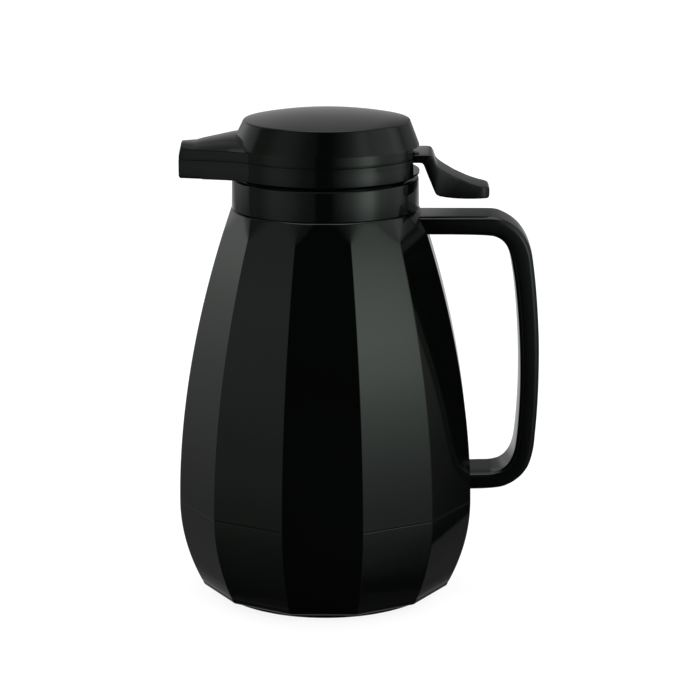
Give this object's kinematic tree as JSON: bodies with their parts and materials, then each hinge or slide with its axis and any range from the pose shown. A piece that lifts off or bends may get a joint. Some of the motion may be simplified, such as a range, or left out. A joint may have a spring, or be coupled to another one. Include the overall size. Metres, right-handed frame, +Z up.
{
  "type": "thermal carafe",
  "caption": "Faceted insulated carafe with a screw-in pouring lid, thumb lever that lifts a spring-loaded valve, spout and loop handle.",
  "frame": {"origin": "centre of the underside that the carafe stands on", "axes": "+Z up along the body's axis, +X towards the handle and lever, -X along the spout"},
  "size_m": [0.1788, 0.145, 0.2435],
  "materials": {
    "shell_black": "glossy black moulded plastic",
    "handle_black": "glossy black moulded plastic",
    "lid_black": "satin black moulded plastic",
    "dark_plastic": "fine-textured dark plastic",
    "pale_plastic": "natural acetal",
    "pad_rubber": "soft non-slip rubber",
    "dark_rubber": "soft rubber",
    "pale_rubber": "translucent grey silicone",
    "flask_steel": "fine-brushed stainless steel",
    "screw_steel": "turned stainless steel",
    "spring_steel": "drawn stainless wire"
  },
  "bodies": {
    "carafe": {"outer_shell": "shell_black", "base_cup": "shell_black", "base_plug": "dark_plastic", "base_pad": "pad_rubber", "neck_collar": "lid_black", "neck_gasket": "pale_rubber", "flask_outer_wall": "flask_steel", "flask_inner_wall": "flask_steel", "flask_seal_cap": "flask_steel", "flask_cushion": "dark_rubber", "handle": "handle_black", "handle_screws": "screw_steel"},
    "lid_seal": {"lid_gasket": "pale_rubber"},
    "lid": {"lid_base": "lid_black", "lid_cover": "lid_black", "lid_plug": "dark_plastic", "chamber_cover": "dark_plastic", "stem_seal": "pale_rubber", "spout_duct": "dark_plastic", "lid_screws": "screw_steel", "valve_spring": "spring_steel", "lever_pin": "screw_steel"},
    "valve": {"valve_stem": "pale_plastic", "valve_seal": "pale_rubber"},
    "lever": {"lever": "lid_black"}
  },
  "joints": [
    {"name": "lid_lift", "type": "slide", "parent": "carafe", "child": "lid_seal", "axis": [0, 0, 1], "range_m": [0, 0.06]},
    {"name": "lid_turn", "type": "hinge", "parent": "lid_seal", "child": "lid", "pos_m": [0, 0, 0.2035], "axis": [0, 0, 1], "range_deg": [0, 720]},
    {"name": "lever_press", "type": "hinge", "parent": "lid", "child": "lever", "pos_m": [0.0375, 0, 0.2209], "axis": [0, 1, 0], "range_deg": [0, 8], "stiffness_Nm_per_rad": 0.5, "springref_deg": -2.86},
    {"name": "valve_lift", "type": "slide", "parent": "lid", "child": "valve", "axis": [0, 0, 1], "range_m": [0, 0.0053], "deforming": ["valve_spring"]}
  ],
  "couplings": [
    {"joint": "lid_lift", "follows": "lid_turn", "m_per_rad": 0.0047747},
    {"joint": "valve_lift", "follows": "lever_press", "m_per_rad": 0.0375}
  ]
}
